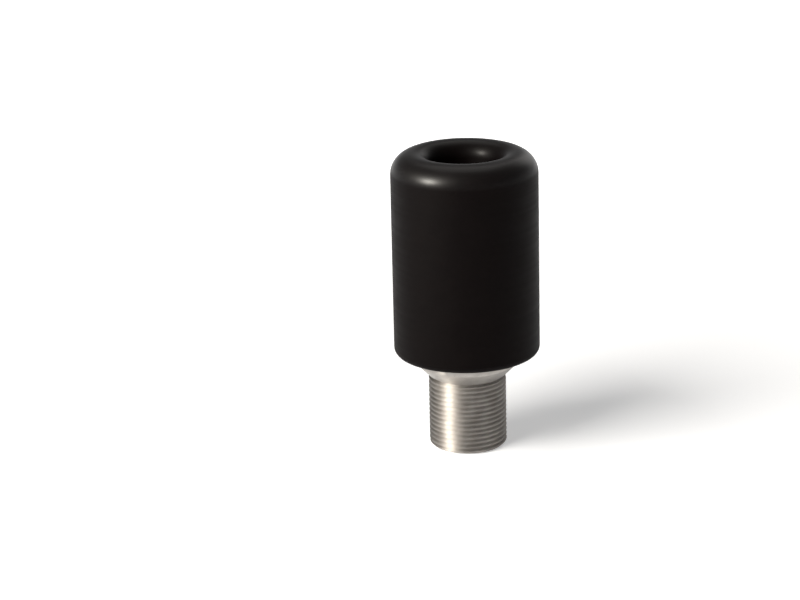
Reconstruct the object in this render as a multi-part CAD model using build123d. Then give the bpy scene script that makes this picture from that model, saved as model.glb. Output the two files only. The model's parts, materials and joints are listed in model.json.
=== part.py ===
from build123d import *
import math
import os

# A weight that screws into the end of a motorcycle's handlebar.
# A turned plastic body sits on a threaded steel adapter, and one cap screw, deep in the body's
# open mouth, clamps the two together. Lengths are in millimetres. +Z runs up the common axis,
# and the origin is the centre of the adapter's lower end, on which the weight stands.

# Cap screw, with its thread as a plain cylinder
screw_diameter = 8.0
head_diameter = 13.0
head_height = 8.0
head_edge_chamfer = 0.8
neck_chamfer = 0.3
point_chamfer = 0.9
thread_engagement = 12.5
thread_play = 0.05

# Hexagon socket in the screw's head
socket_width = 6.0
socket_depth = 4.2
socket_margin = 0.5
socket_floor_drop = 0.5

# Threaded adapter, with its outside thread as a plain cylinder
bar_thread_diameter = 16.0
bar_thread_length = 15.3
bar_thread_chamfer = 0.7
relief_depth = 0.65
relief_angle = 60.0
cone_angle = 45.0
flange_diameter = 21.0
flange_thickness = 2.0
tapped_hole_chamfer = 0.5

# Weight body
body_diameter = 30.0
body_length = 42.5
clamped_length = 22.5
shoulder_radius = 4.5
crest_width = 0.2
lower_edge_radius = 1.5
lower_edge_steps = 3
head_clearance = 0.5
shank_clearance = 0.5
screw_hole_chamfer = 0.5

# Radii that follow from the diameters
screw_radius = screw_diameter / 2
shank_radius = screw_radius - thread_play
head_radius = head_diameter / 2
bar_thread_radius = bar_thread_diameter / 2
flange_radius = flange_diameter / 2
body_radius = body_diameter / 2
well_radius = head_radius + head_clearance
screw_hole_radius = screw_radius + shank_clearance
mouth_radius = body_radius - shoulder_radius - crest_width - well_radius

# Heights, from the adapter's lower end up to the crest of the mouth
cone_height = (flange_radius - bar_thread_radius) / math.tan(math.radians(cone_angle))
cone_top = bar_thread_length + cone_height
joint_height = cone_top + flange_thickness
seat_height = joint_height + clamped_length
body_top = joint_height + body_length
screw_tip = seat_height - clamped_length - thread_engagement
head_top = seat_height + head_height


def turned(outline):
    """A solid of revolution, from its closed half section in (radius, height)."""
    section = make_face(Plane.XZ * outline)
    return revolve(section, Axis.Z)


def rounded_corner(start, corner, end):
    """A quarter round from start to end, in place of the square corner between them."""
    start, corner, end = Vector(*start), Vector(*corner), Vector(*end)
    centre = start + end - corner
    middle = centre + (corner - centre) * math.sqrt(0.5)
    return ThreePointArc(start, middle, end)


def eased_edge(radius, height, size, steps):
    """A quarter round in a few straight steps, outwards and up from the foot of a wall."""
    angles = [math.radians(90) * step / steps for step in range(steps + 1)]
    return Polyline(*[
        (radius - size + size * math.sin(angle), height + size - size * math.cos(angle))
        for angle in angles
    ])


def rings_at(solid, height):
    """The round edges of a solid at one height, from the smallest to the largest."""
    rings = solid.edges().filter_by(GeomType.CIRCLE)
    rings = rings.filter_by_position(Axis.Z, height, height)
    return rings.sort_by(SortBy.RADIUS)


def weight_body():
    """The plastic sleeve: a blunt cylinder, round-lipped at the mouth and bored out for the screw."""
    lower_edge = eased_edge(body_radius, joint_height, lower_edge_radius, lower_edge_steps)
    shoulder = rounded_corner(
        (body_radius, body_top - shoulder_radius),
        (body_radius, body_top),
        (body_radius - shoulder_radius, body_top),
    )
    mouth = rounded_corner(
        (well_radius + mouth_radius, body_top),
        (well_radius, body_top),
        (well_radius, body_top - mouth_radius),
    )
    side = Line(lower_edge @ 1, shoulder @ 0)
    crest = Line(shoulder @ 1, mouth @ 0)
    bore_and_base = Polyline(
        mouth @ 1,
        (well_radius, seat_height),
        (screw_hole_radius, seat_height),
        (screw_hole_radius, joint_height),
        lower_edge @ 0,
    )
    body = turned(lower_edge + side + shoulder + crest + mouth + bore_and_base)
    hole_mouths = [rings_at(body, seat_height)[0], rings_at(body, joint_height)[0]]
    return chamfer(hole_mouths, screw_hole_chamfer)


def threaded_adapter():
    """The steel adapter: a threaded stub, a cone that centres it in the bar and a flange."""
    relief_half_width = relief_depth * math.tan(math.radians(relief_angle / 2))
    outline = Polyline(
        (screw_radius, 0),
        (bar_thread_radius, 0),
        (bar_thread_radius, bar_thread_length - 2 * relief_half_width),
        (bar_thread_radius - relief_depth, bar_thread_length - relief_half_width),
        (bar_thread_radius, bar_thread_length),
        (flange_radius, cone_top),
        (flange_radius, joint_height),
        (screw_radius, joint_height),
        close=True,
    )
    adapter = chamfer(rings_at(turned(outline), 0)[-1], bar_thread_chamfer)
    hole_mouths = [rings_at(adapter, 0)[0], rings_at(adapter, joint_height)[0]]
    return chamfer(hole_mouths, tapped_hole_chamfer)


def socket_cutter():
    """The hexagon socket: its countersunk mouth, its six walls and its shallow drilled floor."""
    corner_radius = socket_width / 2 / math.cos(math.radians(30))
    countersink_radius = corner_radius + socket_margin
    floor_height = head_top - socket_depth
    hexagon = Plane.XY.offset(floor_height) * RegularPolygon(corner_radius, 6)
    walls = extrude(hexagon, socket_depth)
    countersink = turned(Polyline(
        (0, head_top),
        (countersink_radius, head_top),
        (0, head_top - countersink_radius),
        close=True,
    ))
    floor = turned(Polyline(
        (0, floor_height),
        (socket_width / 2, floor_height),
        (0, floor_height - socket_floor_drop),
        close=True,
    ))
    return walls + countersink + floor


def cap_screw():
    """The socket head cap screw that clamps the body to the adapter."""
    screw = turned(Polyline(
        (0, screw_tip),
        (shank_radius, screw_tip),
        (shank_radius, seat_height),
        (head_radius, seat_height),
        (head_radius, head_top),
        (0, head_top),
        close=True,
    ))
    screw = chamfer(rings_at(screw, screw_tip), point_chamfer)
    screw = chamfer(rings_at(screw, head_top), head_edge_chamfer)
    screw = chamfer(rings_at(screw, seat_height)[0], neck_chamfer)
    return screw - socket_cutter()


nodes = {
    "weight_body": weight_body(),
    "threaded_adapter": threaded_adapter(),
    "cap_screw": cap_screw(),
}

os.makedirs("parts", exist_ok=True)
for name, shape in nodes.items():
    export_step(shape, f"parts/{name}.step")
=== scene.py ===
import json
import logging
import math
from collections.abc import Callable
from dataclasses import dataclass, field
from enum import Enum
from functools import cache

import bmesh
import bpy
from bpy.types import Material, Node, NodeSocket, NodeTree, Object, World
from mathutils import Matrix, Vector


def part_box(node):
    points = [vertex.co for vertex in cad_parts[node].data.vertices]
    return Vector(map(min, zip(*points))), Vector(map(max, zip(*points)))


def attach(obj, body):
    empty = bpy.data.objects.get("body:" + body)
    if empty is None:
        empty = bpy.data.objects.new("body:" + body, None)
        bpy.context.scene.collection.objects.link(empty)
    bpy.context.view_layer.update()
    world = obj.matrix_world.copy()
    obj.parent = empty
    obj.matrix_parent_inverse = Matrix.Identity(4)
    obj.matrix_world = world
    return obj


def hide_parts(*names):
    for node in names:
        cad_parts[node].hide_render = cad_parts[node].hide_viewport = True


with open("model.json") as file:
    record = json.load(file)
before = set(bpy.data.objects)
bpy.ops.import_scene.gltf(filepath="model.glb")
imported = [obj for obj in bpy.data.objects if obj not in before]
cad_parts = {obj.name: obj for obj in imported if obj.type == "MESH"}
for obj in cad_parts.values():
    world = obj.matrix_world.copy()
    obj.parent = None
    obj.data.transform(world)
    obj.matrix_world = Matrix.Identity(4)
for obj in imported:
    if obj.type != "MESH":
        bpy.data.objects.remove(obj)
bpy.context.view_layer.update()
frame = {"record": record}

# The looks of a bar end weight: a black turned body, a threaded steel adapter and a cap screw.
# Lengths are metres, heights run up the common axis, and angles are radians unless named degrees.

MM = 0.001

# How many straight sides stand for a full circle
ROUND_SIDES = 192

# How many facets a small rounding has
EDGE_FACETS = 3

# Vertices this close are one, a vertex this close to a ring lies on it, and edges this short
# that a cut leaves are merged
SAME_PLACE = 0.0001 * MM
NEARBY = 0.002 * MM
SLIVER = 0.001 * MM

Span = tuple[float, float]
Color = tuple[float, float, float, float]

log = logging.getLogger("bar_end_weight")


class Slot(Enum):
    """The record's material slots."""

    PLASTIC = "black_plastic"
    STEEL = "turned_steel"
    ZINC = "zinc_steel"


class ThreadSide(Enum):
    """Whether a thread is cut into a rod or into a hole."""

    OUTSIDE = 1
    INSIDE = -1


class LampUse(Enum):
    """The surfaces that a lamp lights."""

    MATTE = "matte"
    GLOSS = "gloss"


def select_only(piece: Object) -> None:
    """Selects one piece alone and makes it the active one."""
    bpy.ops.object.select_all(action="DESELECT")
    piece.select_set(True)
    bpy.context.view_layer.objects.active = piece


def start_piece(name: str) -> Object:
    """Names the primitive that was just added and settles its place in its mesh.

    Args:
        name: The piece's name.

    Returns:
        The piece, with its object at the origin, unturned and unscaled.
    """
    piece = bpy.context.object
    piece.name = name
    piece.data.name = name
    bpy.ops.object.transform_apply()
    return piece


def pick_vertices(piece: Object, wanted: Callable[[Vector], bool]) -> int:
    """Selects a piece's vertices by their places.

    Args:
        piece: The piece, which is in edit mode.
        wanted: Says whether a place is to be selected.

    Returns:
        How many vertices are selected.
    """
    bpy.ops.mesh.select_mode(type="VERT")
    bpy.ops.mesh.select_all(action="DESELECT")
    mesh = bmesh.from_edit_mesh(piece.data)
    for vertex in mesh.verts:
        vertex.select = wanted(vertex.co)
    mesh.select_flush(True)
    bmesh.update_edit_mesh(piece.data)
    return sum(vertex.select for vertex in mesh.verts)


def combine(piece: Object, tool: Object, operation: str) -> None:
    """Adds a tool's shape to a piece or takes it away, and throws the tool away.

    Args:
        piece: The piece that changes. It becomes the active one.
        tool: A closed shape, which is used up.
        operation: UNION or DIFFERENCE.
    """
    select_only(piece)
    bpy.ops.object.modifier_add(type="BOOLEAN")
    boolean = piece.modifiers[-1]
    boolean.operation = operation
    boolean.solver = "EXACT"
    boolean.object = tool
    bpy.ops.object.modifier_apply(modifier=boolean.name)
    bpy.data.objects.remove(tool)


def cut_away(piece: Object, tool: Object) -> None:
    """Cuts a tool's shape out of a piece, merges the tiny edges that this leaves and fills gaps.

    Args:
        piece: The piece that is cut.
        tool: A closed shape, which is used up.
    """
    combine(piece, tool, "DIFFERENCE")
    bpy.ops.object.mode_set(mode="EDIT")
    bpy.ops.mesh.select_all(action="SELECT")
    bpy.ops.mesh.remove_doubles(threshold=SLIVER)
    bpy.ops.mesh.dissolve_degenerate(threshold=SLIVER)
    bpy.ops.mesh.select_all(action="SELECT")
    bpy.ops.mesh.fill_holes(sides=0)
    bpy.ops.mesh.select_all(action="SELECT")
    bpy.ops.mesh.normals_make_consistent()
    bpy.ops.object.mode_set(mode="OBJECT")


@dataclass
class Turning:
    """A round piece in the making, drawn out ring by ring about the vertical axis.

    Attributes:
        name: The piece's name.
        radius: The radius of the last ring made.
        height: The height of the last ring made.
        solid: Whether it has no bore, so that its end rings are discs.
        piece: The piece itself.
        first: Its first ring's radius and height.
    """

    name: str
    radius: float
    height: float
    solid: bool = False
    piece: Object = field(init=False)
    first: Span = field(init=False)

    def __post_init__(self) -> None:
        """Makes the first ring and goes into edit mode."""
        bpy.ops.mesh.primitive_circle_add(
            vertices=ROUND_SIDES,
            radius=self.radius,
            fill_type="NGON" if self.solid else "NOTHING",
            location=(0, 0, self.height),
        )
        self.piece = start_piece(self.name)
        self.first = (self.radius, self.height)
        bpy.ops.object.mode_set(mode="EDIT")
        bpy.ops.mesh.select_all(action="SELECT")

    def run_to(self, *rings: Span) -> None:
        """Draws the surface on from ring to ring.

        Args:
            rings: The radius and the height of each new ring.
        """
        for radius, height in rings:
            rise = (0, 0, height - self.height)
            bpy.ops.mesh.extrude_region_move(TRANSFORM_OT_translate={"value": rise})
            ratio = radius / self.radius
            bpy.ops.transform.resize(value=(ratio, ratio, 1), center_override=(0, 0, height))
            self.radius, self.height = radius, height

    def close(self) -> None:
        """Joins the last ring to the first and turns every face outwards."""
        if not self.solid:
            self.run_to(self.first)
        bpy.ops.mesh.select_all(action="SELECT")
        bpy.ops.mesh.remove_doubles(threshold=SAME_PLACE)
        bpy.ops.mesh.normals_make_consistent()

    def ease_ring(self, radius: float, height: float, size: float, steps: int = 1) -> None:
        """Rounds or chamfers the edge that runs round one ring.

        Args:
            radius: The ring's radius.
            height: The ring's height.
            size: How far the rounding reaches from the edge.
            steps: How many facets the rounding has, one of them for a chamfer.
        """
        def on_ring(place: Vector) -> bool:
            """Whether a place lies on the ring."""
            return abs(place.xy.length - radius) < NEARBY and abs(place.z - height) < NEARBY

        if not pick_vertices(self.piece, on_ring):
            raise ValueError(f"{self.name} has no ring at {radius}, {height}")
        bpy.ops.mesh.bevel(offset=size, segments=steps)

    def finish(self) -> Object:
        """Leaves edit mode and returns the piece."""
        bpy.ops.object.mode_set(mode="OBJECT")
        return self.piece


@dataclass(frozen=True)
class Thread:
    """A right-hand screw thread with rounded crests and roots, cut as one helical groove.

    Attributes:
        pitch: The rise of one turn.
        crest: The radius on which the ridges' crests lie.
        root: The radius of the groove's bottom.
        side: Whether the groove is cut into a rod or into a hole.
        gap_share: The groove's width at the crests, as a share of the pitch.
        end_degrees: The direction in which the groove ends, seen from above.
        facets: How many facets the groove's section has.
        steps: How many steps one turn has.
        overcut: How far the cutter reaches past the crests, as a share of the pitch.
    """

    pitch: float
    crest: float
    root: float
    side: ThreadSide
    gap_share: float = 0.96
    end_degrees: float = 90.0
    facets: int = 8
    steps: int = 120
    overcut: float = 0.05

    @property
    def depth(self) -> float:
        """How far the groove's bottom lies from the crests."""
        return abs(self.crest - self.root)

    @property
    def gap(self) -> float:
        """The groove's width at the crests."""
        return self.pitch * self.gap_share

    def cutter(self, foot: float, end: float) -> Object:
        """Makes the helical solid that cuts the groove.

        Args:
            foot: The height of the piece's lower end, where the groove runs out.
            end: The height of the groove's middle at its upper end.

        Returns:
            The cutter, a whole number of turns long.
        """
        over = self.pitch * self.overcut
        low = foot - self.pitch
        turns = math.ceil((end - low) / self.pitch)
        height = end - turns * self.pitch
        bpy.ops.mesh.primitive_grid_add(
            x_subdivisions=1,
            y_subdivisions=self.facets,
            size=1,
            rotation=(math.radians(90), 0, 0),
            location=(self.crest + self.side.value * over / 2, 0, height),
        )
        bpy.ops.transform.resize(value=(over, 1, self.gap))
        tool = start_piece("thread_cutter")
        self._shape_section(tool, height)
        self._wind(tool, turns)
        return tool

    def _shape_section(self, tool: Object, height: float) -> None:
        """Pushes the section's rows out to the groove's curve.

        Args:
            tool: The flat section, still a narrow strip beyond the crests.
            height: The height of the section's middle.
        """
        bpy.ops.object.mode_set(mode="EDIT")
        for row in range(1, self.facets):
            offset = (row / self.facets - 0.5) * self.gap

            def in_row(place: Vector) -> bool:
                """Whether a vertex is the row's one on the crests' radius."""
                at_crest = abs(place.x - self.crest) < NEARBY
                return at_crest and abs(place.z - height - offset) < NEARBY

            if pick_vertices(tool, in_row) != 1:
                raise ValueError("the groove's section has lost a row")
            reach = self.depth * math.cos(math.pi * offset / self.gap) ** 2
            bpy.ops.transform.translate(value=(-self.side.value * reach, 0, 0))
        bpy.ops.mesh.select_mode(type="FACE")
        bpy.ops.mesh.select_all(action="SELECT")
        bpy.ops.mesh.dissolve_faces()
        bpy.ops.object.mode_set(mode="OBJECT")

    def _wind(self, tool: Object, turns: int) -> None:
        """Winds the section up into a helix, closes its two ends and turns it to its place.

        Args:
            tool: The flat section.
            turns: How many turns it makes.
        """
        select_only(tool)
        bpy.ops.object.modifier_add(type="SCREW")
        screw = tool.modifiers[-1]
        screw.screw_offset = self.pitch
        screw.iterations = turns
        screw.steps = self.steps
        bpy.ops.object.modifier_apply(modifier=screw.name)
        bpy.ops.object.mode_set(mode="EDIT")
        bpy.ops.mesh.select_all(action="SELECT")
        bpy.ops.mesh.remove_doubles(threshold=SAME_PLACE)
        bpy.ops.mesh.fill_holes(sides=0)
        bpy.ops.mesh.select_all(action="SELECT")
        bpy.ops.mesh.normals_make_consistent()
        bpy.ops.object.mode_set(mode="OBJECT")
        tool.rotation_euler.z = math.radians(self.end_degrees)
        bpy.ops.object.transform_apply(location=False, scale=False)


@dataclass
class Sheet:
    """Adds and joins the nodes of one material, world or node group.

    Attributes:
        tree: The tree that gets the nodes.
        spacing: How far apart they stand.
    """

    tree: NodeTree
    spacing: float = 200.0

    def node(self, kind: str, inputs: dict | None = None, **settings: object) -> Node:
        """Adds a node, sets it up and joins its inputs.

        Args:
            kind: The node's type.
            inputs: A value or another node's output for each input that changes.
            settings: The node's own options.

        Returns:
            The new node.
        """
        node = self.tree.nodes.new(kind)
        node.location.x = len(self.tree.nodes) * self.spacing
        for name, value in settings.items():
            setattr(node, name, value)
        for name, value in (inputs or {}).items():
            if isinstance(value, NodeSocket):
                self.tree.links.new(value, node.inputs[name])
            else:
                node.inputs[name].default_value = value
        return node

    def math(self, operation: str, *values: object) -> NodeSocket:
        """Adds one step of arithmetic on numbers or sockets and returns the result's socket."""
        node = self.node("ShaderNodeMath", dict(enumerate(values)), operation=operation)
        return node.outputs[0]

    def ramp(self, value: NodeSocket, low: float, high: float,
             low_result: float = 0.0, high_result: float = 1.0) -> NodeSocket:
        """Turns a range of values smoothly into another one and returns the result's socket."""
        names = ("Value", "From Min", "From Max", "To Min", "To Max")
        inputs = dict(zip(names, (value, low, high, low_result, high_result)))
        node = self.node("ShaderNodeMapRange", inputs, interpolation_type="SMOOTHSTEP")
        return node.outputs["Result"]

    def blend(self, factor: object, first: object, second: object) -> NodeSocket:
        """Mixes two colours and returns the socket. The factor is the second one's share."""
        inputs = {0: factor, 6: first, 7: second}
        return self.node("ShaderNodeMix", inputs, data_type="RGBA").outputs[2]

    def noise(self, place: NodeSocket, scale: object, detail: float,
              roughness: float = 0.5) -> NodeSocket:
        """Adds a noise texture and returns its socket. The scale is its bumps to a metre."""
        inputs = {"Vector": place, "Scale": scale, "Detail": detail, "Roughness": roughness}
        return self.node("ShaderNodeTexNoise", inputs).outputs["Fac"]

    def bump(self, height: NodeSocket, strength: float, depth: float) -> NodeSocket:
        """Tilts the normals as if the surface were uneven and returns the normal's socket."""
        inputs = {"Height": height, "Strength": strength, "Distance": depth}
        return self.node("ShaderNodeBump", inputs).outputs["Normal"]

    def place(self, coordinates: str = "Object") -> NodeSocket:
        """Returns the socket of the object's own coordinates, or of others."""
        return self.node("ShaderNodeTexCoord").outputs[coordinates]

    def axis_distance(self, place: NodeSocket) -> tuple[NodeSocket, NodeSocket]:
        """Returns the sockets of a place's distance from the vertical axis and of its height."""
        split = self.node("ShaderNodeSeparateXYZ", {"Vector": place}).outputs
        flat = self.node("ShaderNodeCombineXYZ", {"X": split["X"], "Y": split["Y"]})
        length = self.node("ShaderNodeVectorMath", {0: flat.outputs[0]}, operation="LENGTH")
        return length.outputs["Value"], split["Z"]

    def group(self, tree: NodeTree, **inputs: object) -> dict[str, NodeSocket]:
        """Places a shared node group with its inputs and returns its outputs, all by name."""
        return dict(self.node("ShaderNodeGroup", inputs, node_tree=tree).outputs.items())

    def surface(self, inputs: dict[str, object]) -> None:
        """Ends a material with its principled surface, from the surface's inputs by name."""
        shader = self.node("ShaderNodeBsdfPrincipled", inputs)
        self.node("ShaderNodeOutputMaterial", {"Surface": shader.outputs[0]})


def start_sheet(holder: Material | World) -> Sheet:
    """Clears the nodes of a new material or world and returns its empty sheet."""
    holder.use_nodes = True
    holder.node_tree.nodes.clear()
    return Sheet(holder.node_tree)


def start_group(name: str, values: list[str],
                results: list[str]) -> tuple[Sheet, dict[str, NodeSocket]]:
    """Starts a node group that takes a position and some values and puts out values.

    Args:
        name: The group's name.
        values: The names of the values that it takes.
        results: The names of the values that it puts out.

    Returns:
        The group's sheet, and the sockets of what it takes by name.
    """
    tree = bpy.data.node_groups.new(name, "ShaderNodeTree")
    tree.interface.new_socket("Position", in_out="INPUT", socket_type="NodeSocketVector")
    for side, names in (("INPUT", values), ("OUTPUT", results)):
        for socket in names:
            tree.interface.new_socket(socket, in_out=side, socket_type="NodeSocketFloat")
    sheet = Sheet(tree)
    return sheet, dict(sheet.node("NodeGroupInput").outputs.items())


@cache
def lathe_lines(cloud_scale: float = 260.0, broad_share: float = 0.14,
                streak_range: Span = (0.32, 0.68)) -> NodeTree:
    """Builds the group that draws a lathe tool's fine rings, once for all finishes.

    Args:
        cloud_scale: How many clouds to a metre bend the rings.
        broad_share: How many broad streaks there are to a fine ring.
        streak_range: The noise's values where a streak starts and where it is full.

    Returns:
        The group. Lines is the number of rings to a metre, and Wander is how far they stray.
    """
    sheet, given = start_group("lathe_lines", ["Lines", "Wander"], ["Height", "Streak"])
    distance, height = sheet.axis_distance(given["Position"])
    cloud = sheet.noise(given["Position"], cloud_scale, detail=2.0)
    drift = sheet.math("MULTIPLY", cloud, given["Wander"])
    combined = sheet.node("ShaderNodeCombineXYZ", {"X": distance, "Y": height, "Z": drift})
    profile = combined.outputs[0]
    fine = sheet.noise(profile, given["Lines"], detail=3.0, roughness=0.6)
    broad_lines = sheet.math("MULTIPLY", given["Lines"], broad_share)
    streak = sheet.ramp(sheet.noise(profile, broad_lines, detail=2.0), *streak_range)
    sheet.node("NodeGroupOutput", {"Height": fine, "Streak": streak})
    return sheet.tree


@cache
def mottle(fineness: float = 22.0, cloud_range: Span = (0.3, 0.7)) -> NodeTree:
    """Builds the group that clouds a finish with soft blotches and fine grain.

    Args:
        fineness: How many times finer than the blotches the grain is.
        cloud_range: The noise's values where a blotch starts and where it is full.

    Returns:
        The group. Cloud is broad and soft, and Grain is fine, both from nought to one.
    """
    sheet, given = start_group("mottle", ["Size"], ["Cloud", "Grain"])
    place = given["Position"]
    scale = sheet.math("DIVIDE", 1.0, given["Size"])
    cloud = sheet.ramp(sheet.noise(place, scale, detail=4.0), *cloud_range)
    grain = sheet.noise(place, sheet.math("MULTIPLY", scale, fineness), detail=2.0)
    sheet.node("NodeGroupOutput", {"Cloud": cloud, "Grain": grain})
    return sheet.tree


@cache
def groove_shade(deep_range: Span = (0.1, 0.95)) -> NodeTree:
    """Builds the group that finds the bottoms of an outside thread's grooves.

    Args:
        deep_range: The shares of the depth where Depth starts and where it is full.

    Returns:
        The group. Depth is one at the roots and nought on the crests and above the thread.
        Threaded is one on the whole thread.
    """
    sheet, given = start_group("groove_shade", ["Crest", "Root", "Top"], ["Depth", "Threaded"])
    distance, height = sheet.axis_distance(given["Position"])
    span = sheet.math("SUBTRACT", given["Crest"], given["Root"])
    sunk = sheet.math("SUBTRACT", given["Crest"], distance)
    deep = sheet.ramp(sheet.math("DIVIDE", sunk, span), *deep_range)
    below = sheet.math("LESS_THAN", height, given["Top"])
    depth = sheet.math("MULTIPLY", deep, below)
    sheet.node("NodeGroupOutput", {"Depth": depth, "Threaded": below})
    return sheet.tree


@dataclass(frozen=True)
class ToolMarks:
    """The fine rings that a lathe tool leaves.

    Attributes:
        spacing: The distance between the rings.
        wander: How far they stray.
        depth: How deep they look.
        strength: How strongly they tilt the normals.
    """

    spacing: float
    wander: float
    depth: float
    strength: float

    def draw(self, sheet: Sheet, place: NodeSocket) -> tuple[NodeSocket, NodeSocket]:
        """Draws the rings and returns the sockets of the broad streaks and the tilted normal."""
        density = 1 / self.spacing
        lines = sheet.group(lathe_lines(), Position=place, Lines=density, Wander=self.wander)
        return lines["Streak"], sheet.bump(lines["Height"], self.strength, self.depth)


@dataclass(frozen=True)
class BlackPlastic:
    """Near-black turned plastic, dull on its side and polished on its lip.

    Attributes:
        color: The plastic's own colour.
        worn_color: Its colour in blotches.
        roughness: The turned surface's least and most roughness.
        lip_start: The height above which the lip is polished.
        crest_radius: The radius of the lip's crest, polished from there on.
        lip_blend: The height over which the polish sets in.
        crest_blend: The width over which it fades out inside the crest.
        polish_roughness: The roughness of the polish.
        polish_index: Its index of refraction.
        shine: The specular level of the turned surface.
        base_share: The roughness of the plain surface, as a share of its span.
        streak_share: How much the broad streaks add to it.
        cloud_share: How much the blotches add.
        blotch_size: The size of the blotches.
        marks: The tool's fine rings.
    """

    lip_start: float
    crest_radius: float
    color: Color = (0.0018, 0.0006, 0.0006, 1)
    worn_color: Color = (0.0027, 0.0013, 0.0012, 1)
    roughness: Span = (0.52, 0.6)
    lip_blend: float = 3.0 * MM
    crest_blend: float = 4.5 * MM
    polish_roughness: float = 0.36
    polish_index: float = 1.38
    shine: float = 0.055
    base_share: float = 0.1
    streak_share: float = 0.4
    cloud_share: float = 0.4
    blotch_size: float = 5.0 * MM
    marks: ToolMarks = ToolMarks(0.12 * MM, 0.05 * MM, 0.0015 * MM, 0.5)

    def material(self) -> Material:
        """Builds the material.

        Returns:
            The new material.
        """
        material = bpy.data.materials.new("black_turned_plastic")
        sheet = start_sheet(material)
        place = sheet.place()
        streak, normal = self.marks.draw(sheet, place)
        blotches = sheet.group(mottle(), Position=place, Size=self.blotch_size)
        streaked = sheet.math("MULTIPLY_ADD", streak, self.streak_share, self.base_share)
        uneven = sheet.math("MULTIPLY_ADD", blotches["Cloud"], self.cloud_share, streaked)
        distance, height = sheet.axis_distance(place)
        high = sheet.ramp(height, self.lip_start, self.lip_start + self.lip_blend)
        outside = sheet.ramp(distance, self.crest_radius - self.crest_blend, self.crest_radius)
        sheet.surface({
            "Base Color": sheet.blend(blotches["Cloud"], self.color, self.worn_color),
            "Roughness": sheet.ramp(uneven, 0.0, 1.0, *self.roughness),
            "Normal": normal,
            "Specular IOR Level": self.shine,
            "Coat Weight": sheet.math("MULTIPLY", high, outside),
            "Coat Roughness": self.polish_roughness,
            "Coat IOR": self.polish_index,
        })
        return material


@dataclass(frozen=True)
class TurnedSteel:
    """Bright turned steel, with painted shade in its thread's grooves and the whole thread a little
    darker.

    Attributes:
        thread: The outside thread.
        thread_top: The height at which it ends.
        color: The clean steel's colour.
        dull_color: Its colour in blotches.
        thread_shade_color: The colour that darkens the thread, as painted shade in its grooves.
        thread_darkening_share: How much the whole thread is darkened towards it.
        groove_shade_share: How much more painted shade the grooves get, by their depth.
        roughness: The least and the most roughness.
        thread_dullness: How much rougher the threaded length is.
        grain: How much the turning marks stretch its highlights.
        grain_turn: This stretch's direction, as a share of a full turn.
        wear: The largest share of the dull colour in the blotches.
        streak_share: How much the broad streaks add to the roughness.
        grain_share: How much the fine grain adds to it.
        blotch_size: The size of the blotches.
        marks: The tool's fine rings.
    """

    thread: Thread
    thread_top: float
    color: Color = (0.45, 0.427, 0.402, 1)
    dull_color: Color = (0.33, 0.309, 0.288, 1)
    # Painted shade for the thread's grooves, and a slight darkening of the whole thread
    thread_shade_color: Color = (0.16, 0.13, 0.105, 1)
    thread_darkening_share: float = 0.1
    groove_shade_share: float = 0.1
    roughness: Span = (0.26, 0.38)
    thread_dullness: float = 0.4
    grain: float = 0.92
    grain_turn: float = 0.25
    wear: float = 0.7
    streak_share: float = 0.5
    grain_share: float = 0.5
    blotch_size: float = 2.5 * MM
    marks: ToolMarks = ToolMarks(0.06 * MM, 0.04 * MM, 0.003 * MM, 0.6)

    def material(self) -> Material:
        """Builds the material.

        Returns:
            The new material.
        """
        material = bpy.data.materials.new("bright_turned_steel")
        sheet = start_sheet(material)
        place = sheet.place()
        streak, normal = self.marks.draw(sheet, place)
        blotches = sheet.group(mottle(), Position=place, Size=self.blotch_size)
        groove = sheet.group(
            groove_shade(),
            Position=place,
            Crest=self.thread.crest,
            Root=self.thread.root,
            Top=self.thread_top,
        )
        worn = sheet.math("MULTIPLY", blotches["Cloud"], self.wear)
        metal = sheet.blend(worn, self.color, self.dull_color)
        # Painted shade: the thread's grooves, and the ring groove above them, are darkened by their
        # depth towards the shade colour, and the whole thread a little
        even_thread_darkening = sheet.math("MULTIPLY", groove["Threaded"], self.thread_darkening_share)
        painted_thread_shade = sheet.math("MULTIPLY_ADD", groove["Depth"], self.groove_shade_share, even_thread_darkening)
        streaked = sheet.math("MULTIPLY", streak, self.streak_share)
        uneven = sheet.math("MULTIPLY_ADD", blotches["Grain"], self.grain_share, streaked)
        plain = sheet.ramp(uneven, 0.0, 1.0, *self.roughness)
        around = sheet.node("ShaderNodeTangent", direction_type="RADIAL", axis="Z")
        rough = sheet.math("MULTIPLY_ADD", groove["Threaded"], self.thread_dullness, plain)
        sheet.surface({
            "Base Color": sheet.blend(painted_thread_shade, metal, self.thread_shade_color),
            "Metallic": 1.0,
            "Roughness": rough,
            "Normal": normal,
            "Anisotropic": self.grain,
            "Anisotropic Rotation": self.grain_turn,
            "Tangent": around.outputs["Tangent"],
        })
        return material


@dataclass(frozen=True)
class ZincPlate:
    """Zinc plating with its bluish, slightly cloudy shine.

    Attributes:
        color: The plating's colour.
        cloud_color: Its colour in the clouds of the passivation.
        roughness: The least and the most roughness.
        rough_range: The grain's values that have them.
        cloud_size: The size of the clouds.
        grain_depth: How deep the grain looks.
        grain_strength: How strongly it tilts the normals.
    """

    color: Color = (0.62, 0.66, 0.72, 1)
    cloud_color: Color = (0.5, 0.56, 0.66, 1)
    roughness: Span = (0.22, 0.36)
    rough_range: Span = (0.25, 0.75)
    cloud_size: float = 1.6 * MM
    grain_depth: float = 0.004 * MM
    grain_strength: float = 0.4

    def material(self) -> Material:
        """Builds the material.

        Returns:
            The new material.
        """
        material = bpy.data.materials.new("bright_zinc_plate")
        sheet = start_sheet(material)
        clouds = sheet.group(mottle(), Position=sheet.place(), Size=self.cloud_size)
        sheet.surface({
            "Base Color": sheet.blend(clouds["Cloud"], self.color, self.cloud_color),
            "Metallic": 1.0,
            "Roughness": sheet.ramp(clouds["Grain"], *self.rough_range, *self.roughness),
            "Normal": sheet.bump(clouds["Grain"], self.grain_strength, self.grain_depth),
        })
        return material


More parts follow.
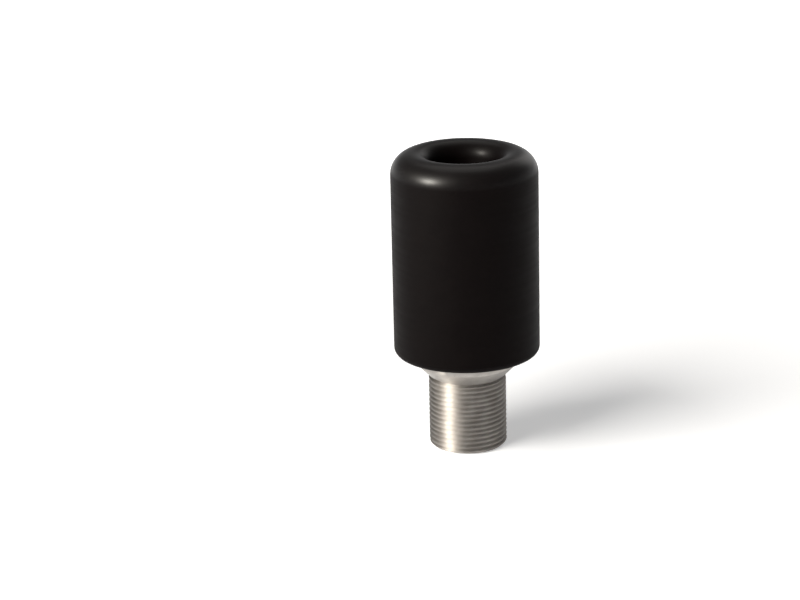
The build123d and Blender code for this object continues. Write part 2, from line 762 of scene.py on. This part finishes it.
def dress(piece: Object, node: str, material: Material,
          sharp_degrees: float = 32.0) -> None:
    """Shades a finished piece and puts it in the place of its solid.

    Args:
        piece: The finished piece.
        node: The CAD node that it stands for.
        material: Its material.
        sharp_degrees: Edges sharper than this stay crisp.
    """
    select_only(piece)
    bpy.ops.object.shade_smooth_by_angle(angle=math.radians(sharp_degrees))
    piece.data.materials.clear()
    piece.data.materials.append(material)
    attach(piece, "root")
    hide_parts(node)
    log.info("%s: %d faces", piece.name, len(piece.data.polygons))


@dataclass
class CapScrew:
    """The socket head cap screw that clamps the body to the adapter.

    Attributes:
        head_radius: The head's radius over its knurl.
        tip: The height of the screw's lower end.
        seat: The height of the head's underside.
        head_top: The height of the head's face.
        thread: The screw's thread.
        socket_width: The hexagon socket's width across its flats.
        socket_depth: How deep its six walls reach.
        socket_margin: How far its countersink reaches past its corners.
        floor_drop: How far its drilled floor falls to the middle.
        edge_chamfer: The chamfer round the head's face.
        face_edge: The rounding between this chamfer and the face.
        foot_chamfer: The chamfer round the head's underside.
        neck: The cone between head and shank.
        point_chamfer: The chamfer at the tip.
        plain_pitches: How many pitches under the head have no thread.
        knurl_ridges: How many ridges the knurl has.
        knurl_depth: How deep its grooves are.
        tool_tip: The tip radius of the socket's tools.
        tool_overlap: How far these reach past what they cut.
    """

    head_radius: float
    tip: float
    seat: float
    head_top: float
    thread: Thread
    socket_width: float = 6.0 * MM
    socket_depth: float = 4.2 * MM
    socket_margin: float = 0.5 * MM
    floor_drop: float = 0.5 * MM
    edge_chamfer: float = 0.8 * MM
    face_edge: float = 0.12 * MM
    foot_chamfer: float = 0.35 * MM
    neck: float = 0.3 * MM
    point_chamfer: float = 0.9 * MM
    plain_pitches: float = 3.0
    knurl_ridges: int = 48
    knurl_depth: float = 0.17 * MM
    tool_tip: float = 0.1 * MM
    tool_overlap: float = 1.0 * MM

    @property
    def groove_end(self) -> float:
        """The height at which the thread's groove ends."""
        return self.seat - self.plain_pitches * self.thread.pitch

    def build(self) -> Object:
        """Turns the screw, knurls its head, cuts its thread and sinks its socket.

        Returns:
            The finished screw.
        """
        shank = self.thread.crest
        face_radius = self.head_radius - self.edge_chamfer
        turning = Turning("cap_screw_detailed", shank - self.point_chamfer, self.tip, solid=True)
        turning.run_to(
            (shank, self.tip + self.point_chamfer),
            (shank, self.seat - self.neck),
            (shank + self.neck, self.seat),
            (self.head_radius - self.foot_chamfer, self.seat),
            (self.head_radius, self.seat + self.foot_chamfer),
            (self.head_radius, self.head_top - self.edge_chamfer),
            (face_radius, self.head_top),
        )
        turning.close()
        self._knurl(turning.piece)
        turning.ease_ring(face_radius, self.head_top, self.face_edge, EDGE_FACETS)
        screw = turning.finish()
        cut_away(screw, self.thread.cutter(self.tip, self.groove_end))
        cut_away(screw, self._socket_tool())
        return screw

    def _knurl(self, screw: Object) -> None:
        """Presses straight grooves into the side of the head.

        Args:
            screw: The screw, in edit mode.
        """
        places = ROUND_SIDES // self.knurl_ridges

        def in_groove(place: Vector) -> bool:
            """Whether a place on the head's side belongs to a groove."""
            on_side = abs(place.xy.length - self.head_radius) < NEARBY
            step = round(math.atan2(place.y, place.x) / math.tau * ROUND_SIDES)
            return on_side and step % places >= places // 2

        pick_vertices(screw, in_groove)
        ratio = 1 - self.knurl_depth / self.head_radius
        bpy.ops.transform.resize(value=(ratio, ratio, 1), center_override=(0, 0, 0))

    def _socket_tool(self) -> Object:
        """Makes the solid that sinks the hexagon socket.

        Returns:
            A hexagonal bar with a flared mouth and a pointed end.
        """
        corner = self.socket_width / 2 / math.cos(math.radians(30))
        rim = corner + self.socket_margin
        floor = self.head_top - self.socket_depth
        over = self.tool_overlap
        tip = self.tool_tip
        bpy.ops.mesh.primitive_cylinder_add(
            vertices=6,
            radius=corner,
            depth=self.socket_depth + over,
            location=(0, 0, (floor + self.head_top + over) / 2),
            rotation=(0, 0, math.radians(30)),
        )
        bar = start_piece("socket_bar")
        flare = Turning("socket_flare", tip, self.head_top - rim + tip, solid=True)
        flare.run_to((rim + over, self.head_top + over))
        flare.close()
        combine(bar, flare.finish(), "UNION")
        drill = Turning("socket_drill", tip, floor - self.floor_drop, solid=True)
        drill.run_to((self.socket_width / 2, floor), (self.socket_width / 2, floor + over))
        drill.close()
        combine(bar, drill.finish(), "UNION")
        return bar


@dataclass
class ThreadedAdapter:
    """The steel adapter: a threaded stub, a centring cone and a flange.

    Attributes:
        foot: The height of its lower end.
        top: The height of the flange's upper face.
        flange_radius: The flange's radius.
        thread: The outside thread.
        tapped: The inside thread for the cap screw.
        tapped_reference: A height at which the inside thread's groove has its middle.
        flange_thickness: The flange's thickness.
        flange_edge: The roundings round the flange.
        cone_edge: The rounding where the cone starts.
        foot_chamfer: The chamfer at the start of the thread.
        foot_edge: The rounding between this chamfer and the lower end.
        foot_facets: How many facets this rounding has.
        relief_depth: How deep the ring groove above the thread is.
        relief_edge: The rounding at its bottom.
        hole_chamfer: The chamfers at both ends of the tapped hole.
    """

    foot: float
    top: float
    flange_radius: float
    thread: Thread
    tapped: Thread
    tapped_reference: float
    flange_thickness: float = 2.0 * MM
    flange_edge: float = 0.2 * MM
    cone_edge: float = 0.12 * MM
    foot_chamfer: float = 0.7 * MM
    foot_edge: float = 0.1 * MM
    foot_facets: int = 2
    relief_depth: float = 0.65 * MM
    relief_edge: float = 0.1 * MM
    hole_chamfer: float = 0.5 * MM

    @property
    def cone_foot(self) -> float:
        """The height at which the 45 degree cone starts."""
        return self.top - self.flange_thickness - (self.flange_radius - self.thread.crest)

    @property
    def relief_half_width(self) -> float:
        """Half the width of the ring groove, whose sides stand at 60 degrees to each other."""
        return self.relief_depth * math.tan(math.radians(30))

    @property
    def relief_middle(self) -> float:
        """The height of the ring groove's bottom."""
        return self.cone_foot - self.relief_half_width

    def build(self) -> Object:
        """Turns the blank, then cuts its outside and inside threads.

        Returns:
            The finished adapter.
        """
        crest = self.thread.crest
        bore = self.tapped.crest
        flare = self.tapped.depth + self.hole_chamfer
        mouth = bore + flare
        cone_top = self.top - self.flange_thickness
        relief_radius = crest - self.relief_depth
        turning = Turning("threaded_adapter_detailed", mouth, self.foot)
        turning.run_to(
            (crest - self.foot_chamfer, self.foot),
            (crest, self.foot + self.foot_chamfer),
            (crest, self.cone_foot - 2 * self.relief_half_width),
            (relief_radius, self.relief_middle),
            (crest, self.cone_foot),
            (self.flange_radius, cone_top),
            (self.flange_radius, self.top),
            (mouth, self.top),
            (bore, self.top - flare),
            (bore, self.foot + flare),
        )
        turning.close()
        turning.ease_ring(self.flange_radius, self.top, self.flange_edge, EDGE_FACETS)
        turning.ease_ring(self.flange_radius, cone_top, self.flange_edge, EDGE_FACETS)
        turning.ease_ring(crest, self.cone_foot, self.cone_edge, EDGE_FACETS)
        turning.ease_ring(relief_radius, self.relief_middle, self.relief_edge, EDGE_FACETS)
        turning.ease_ring(
            crest - self.foot_chamfer, self.foot, self.foot_edge, self.foot_facets
        )
        adapter = turning.finish()
        # The outside groove ends just below the ring groove's middle, and the inside one at
        # least a pitch above the flange.
        groove_end = self.relief_middle - self.thread.gap / 4
        cut_away(adapter, self.thread.cutter(self.foot, groove_end))
        rise = math.ceil((self.top - self.tapped_reference) / self.tapped.pitch) + 1
        tapped_end = self.tapped_reference + rise * self.tapped.pitch
        cut_away(adapter, self.tapped.cutter(self.foot, tapped_end))
        return adapter


@dataclass
class WeightBody:
    """The black plastic sleeve with its round lip and its deep well.

    Attributes:
        base: The height of its underside.
        top: The height of the lip's crest.
        radius: Its outer radius.
        well_radius: The radius of the well above the screw's head.
        seat: The height of the well's floor.
        hole_radius: The radius of the screw's hole.
        shoulder: The lip's outer rounding.
        crest_width: The narrow flat on the lip's crest.
        lower_edge: The rounding round the underside.
        seat_corner: The rounding round the well's floor.
        hole_chamfer: The chamfers at both ends of the screw's hole.
        facets: How many facets round the shoulder, the mouth, the lower edge and the seat.
    """

    base: float
    top: float
    radius: float
    well_radius: float
    seat: float
    hole_radius: float
    shoulder: float = 4.5 * MM
    crest_width: float = 0.2 * MM
    lower_edge: float = 1.5 * MM
    seat_corner: float = 0.4 * MM
    hole_chamfer: float = 0.5 * MM
    facets: tuple[int, int, int, int] = (24, 20, 12, 4)

    @property
    def mouth(self) -> float:
        """The lip's inner rounding, which takes what the shoulder and the crest leave."""
        return self.radius - self.shoulder - self.crest_width - self.well_radius

    def build(self) -> Object:
        """Turns the sleeve and rounds its edges.

        Returns:
            The finished sleeve.
        """
        shoulder_facets, mouth_facets, lower_facets, corner_facets = self.facets
        turning = Turning("weight_body_detailed", self.hole_radius, self.base)
        turning.run_to(
            (self.radius, self.base),
            (self.radius, self.top),
            (self.well_radius, self.top),
            (self.well_radius, self.seat),
            (self.hole_radius, self.seat),
        )
        turning.close()
        turning.ease_ring(self.radius, self.top, self.shoulder, shoulder_facets)
        turning.ease_ring(self.well_radius, self.top, self.mouth, mouth_facets)
        turning.ease_ring(self.radius, self.base, self.lower_edge, lower_facets)
        turning.ease_ring(self.well_radius, self.seat, self.seat_corner, corner_facets)
        turning.ease_ring(self.hole_radius, self.seat, self.hole_chamfer)
        turning.ease_ring(self.hole_radius, self.base, self.hole_chamfer)
        return turning.finish()


@dataclass(frozen=True)
class Softbox:
    """A square lamp that faces the object.

    Attributes:
        name: The lamp's name.
        azimuth: Its direction, in degrees to the left of the camera.
        elevation: Its height above the floor, in degrees.
        distance: Its distance.
        width: The length of its sides.
        power: Its power in watts.
        lights: What it lights.
        color: Its light's colour.
    """

    name: str
    azimuth: float
    elevation: float
    distance: float
    width: float
    power: float
    lights: LampUse
    color: tuple[float, float, float] = (1.0, 0.975, 0.94)

    def build(self) -> None:
        """Hangs the lamp up."""
        turn = math.radians(self.azimuth)
        lift = math.radians(self.elevation)
        direction = Vector((
            -math.sin(turn) * math.cos(lift),
            -math.cos(turn) * math.cos(lift),
            math.sin(lift),
        ))
        bpy.ops.object.light_add(
            type="AREA",
            location=direction * self.distance,
            rotation=direction.to_track_quat("Z", "Y").to_euler(),
        )
        lamp = bpy.context.object
        lamp.name = self.name
        lamp.data.shape = "SQUARE"
        lamp.data.size = self.width
        lamp.data.energy = self.power
        lamp.data.color = self.color
        lamp.visible_diffuse = self.lights is LampUse.MATTE
        lamp.visible_glossy = self.lights is LampUse.GLOSS


@dataclass
class Studio:
    """The pale floor and the soft light.

    Attributes:
        floor_size: The floor's side.
        floor_color: Its colour.
        near_glow: The light that it adds to its looks near the object.
        glow_start: Where it starts to turn plain white, from the axis.
        glow_end: Where it is plain white.
        room_level: The even light of the room.
        horizon_level: Its light at the horizon.
        horizon_height: Where this has faded out, as a share of straight up.
        lamps: The main softbox, and three that only show in glossy surfaces.
    """

    floor_size: float = 8.0
    floor_color: Color = (0.9, 0.9, 0.9, 1)
    near_glow: float = 0.39
    glow_start: float = 0.08
    glow_end: float = 0.32
    room_level: float = 0.14
    horizon_level: float = 0.8
    horizon_height: float = 0.3
    lamps: tuple[Softbox, ...] = (
        Softbox("key_softbox", 55.4, 43.4, 1.5, 0.9, 27.5, LampUse.MATTE),
        Softbox("highlight_softbox", 61.0, 25.0, 1.5, 0.3, 46.0, LampUse.GLOSS, (1.0, 0.955, 0.87)),
        Softbox("side_softbox", -150.0, 24.0, 0.9, 0.4, 0.45, LampUse.GLOSS),
        Softbox("top_softbox", 180.0, 66.0, 1.2, 0.9, 1.9, LampUse.GLOSS),
    )

    def build(self) -> None:
        """Puts up the floor, the lamps and the room."""
        self._floor()
        for lamp in self.lamps:
            lamp.build()
        self._room()

    def _floor(self) -> None:
        """Lays the floor under the object."""
        bpy.ops.mesh.primitive_plane_add(size=self.floor_size)
        floor = start_piece("floor")
        material = bpy.data.materials.new("pale_paper")
        sheet = start_sheet(material)
        distance, _ = sheet.axis_distance(sheet.place())
        glow = sheet.ramp(distance, self.glow_start, self.glow_end, self.near_glow, 1.0)
        strength = sheet.math("MULTIPLY", glow, backdrop_rays(sheet))
        paper = sheet.node("ShaderNodeBsdfDiffuse", {"Color": self.floor_color})
        light = sheet.node("ShaderNodeEmission", {"Strength": strength})
        both = sheet.node("ShaderNodeAddShader", {0: paper.outputs[0], 1: light.outputs[0]})
        sheet.node("ShaderNodeOutputMaterial", {"Surface": both.outputs[0]})
        floor.data.materials.append(material)

    def _room(self) -> None:
        """Fills the room with even light that brightens towards the horizon."""
        world = bpy.data.worlds.new("studio_room")
        bpy.context.scene.world = world
        sheet = start_sheet(world)
        split = sheet.node("ShaderNodeSeparateXYZ", {"Vector": sheet.place("Generated")})
        height = split.outputs["Z"]
        level = sheet.ramp(height, 0.0, self.horizon_height, self.horizon_level, self.room_level)
        camera = sheet.node("ShaderNodeLightPath").outputs["Is Camera Ray"]
        strength = sheet.math("MAXIMUM", level, camera)
        light = sheet.node("ShaderNodeBackground", {"Strength": strength})
        sheet.node("ShaderNodeOutputWorld", {"Surface": light.outputs[0]})


def backdrop_rays(sheet: Sheet) -> NodeSocket:
    """Returns a socket that is one for rays from the camera and through gloss or glass."""
    path = sheet.node("ShaderNodeLightPath").outputs
    mirrored = sheet.math("MAXIMUM", path["Is Glossy Ray"], path["Is Transmission Ray"])
    return sheet.math("MAXIMUM", path["Is Camera Ray"], mirrored)


@dataclass
class Viewpoint:
    """The photograph's viewpoint, a pinhole camera.

    Attributes:
        focal_pixels: The focal length in the image's pixels.
        image_width: The image's width in pixels.
        sensor_width: The sensor's width in millimetres.
        distance: How far in front of the lens the origin lies.
        elevation: The downward angle of the view, in degrees.
        roll: The camera's turn about its own view, in degrees.
        shift_right: How far right of the view's middle the origin lies.
        shift_up: How far above the view's middle the origin lies.
        clip: The nearest and the farthest distance that it sees.
    """

    focal_pixels: float = 2635.0
    image_width: float = 800.0
    sensor_width: float = 36.0
    distance: float = 549.3 * MM
    elevation: float = 17.80
    roll: float = -1.345
    shift_right: float = 14.26 * MM
    shift_up: float = -29.38 * MM
    clip: Span = (0.01, 20.0)

    def build(self) -> None:
        """Sets up the camera."""
        tilt = Matrix.Rotation(math.radians(90 - self.elevation), 3, "X")
        turn = tilt @ Matrix.Rotation(math.radians(self.roll), 3, "Z")
        right, up, back = turn.transposed()
        place = back * self.distance - right * self.shift_right - up * self.shift_up
        bpy.ops.object.camera_add(location=place, rotation=turn.to_euler())
        camera = bpy.context.object
        camera.name = "photo_camera"
        camera.data.sensor_width = self.sensor_width
        camera.data.lens = self.focal_pixels * self.sensor_width / self.image_width
        camera.data.clip_start, camera.data.clip_end = self.clip
        bpy.context.scene.camera = camera


@dataclass(frozen=True)
class Fits:
    """The sizes that the pieces share and that the CAD's boxes don't give.

    Attributes:
        bar_pitch: The outside thread's pitch.
        bar_depth: Its depth.
        bar_gap: Its groove's width, as a share of the pitch.
        bar_end: The direction in which its groove ends, in degrees.
        screw_pitch: The cap screw's pitch.
        screw_crest: The crest radius of its thread.
        screw_depth: The depth of its thread and of the tapped one.
        thread_play: How far apart these two are.
        head_height: The height of the screw's head.
        head_clearance: The gap between head and well.
        hole_radius: The radius of the body's hole.
    """

    bar_pitch: float = 1.0 * MM
    bar_depth: float = 0.24 * MM
    bar_gap: float = 0.9
    bar_end: float = 100.0
    screw_pitch: float = 1.25 * MM
    screw_crest: float = 3.95 * MM
    screw_depth: float = 0.6875 * MM
    thread_play: float = 0.06 * MM
    head_height: float = 8.0 * MM
    head_clearance: float = 0.5 * MM
    hole_radius: float = 4.5 * MM

    def bar_thread(self, crest: float) -> Thread:
        """The thread on the stub, from its crest radius."""
        root = crest - self.bar_depth
        return Thread(self.bar_pitch, crest, root, ThreadSide.OUTSIDE, self.bar_gap, self.bar_end)

    def screw_thread(self) -> Thread:
        """The cap screw's thread."""
        root = self.screw_crest - self.screw_depth
        return Thread(self.screw_pitch, self.screw_crest, root, ThreadSide.OUTSIDE)

    def tapped_thread(self) -> Thread:
        """The thread in the adapter's hole, which meshes with the screw's."""
        bore = self.screw_crest - self.screw_depth + self.thread_play
        return Thread(self.screw_pitch, bore, bore + self.screw_depth, ThreadSide.INSIDE)


def main() -> None:
    """Builds the object, its finishes and the studio, one after another."""
    logging.basicConfig(level=logging.INFO, format="%(name)s %(message)s")
    bpy.context.scene.view_settings.view_transform = "Standard"
    Viewpoint().build()
    Studio().build()

    body_low, body_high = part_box("weight_body")
    adapter_low, adapter_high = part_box("threaded_adapter")
    screw_low, screw_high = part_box("cap_screw")
    pin = next(mount for mount in frame["record"]["mounts"] if mount["name"] == "bar_thread")

    fits = Fits()
    seat = screw_high.z - fits.head_height
    screw = CapScrew(screw_high.x, screw_low.z, seat, screw_high.z, fits.screw_thread())
    bar_thread = fits.bar_thread(pin["dims"]["r_mm"] * MM)
    tapped_thread = fits.tapped_thread()
    ridge = screw.groove_end + fits.screw_pitch / 2
    adapter = ThreadedAdapter(
        adapter_low.z, adapter_high.z, adapter_high.x, bar_thread, tapped_thread, ridge
    )
    well_radius = screw_high.x + fits.head_clearance
    body = WeightBody(
        body_low.z, body_high.z, body_high.x, well_radius, seat, fits.hole_radius
    )

    lip_start = body.top - body.shoulder
    crest_radius = body.radius - body.shoulder
    plastic = BlackPlastic(lip_start, crest_radius).material()
    steel = TurnedSteel(adapter.thread, adapter.cone_foot).material()
    zinc = ZincPlate().material()

    dress(body.build(), "weight_body", plastic)
    dress(adapter.build(), "threaded_adapter", steel)
    dress(screw.build(), "cap_screw", zinc)


if __name__ == "__main__":
    main()
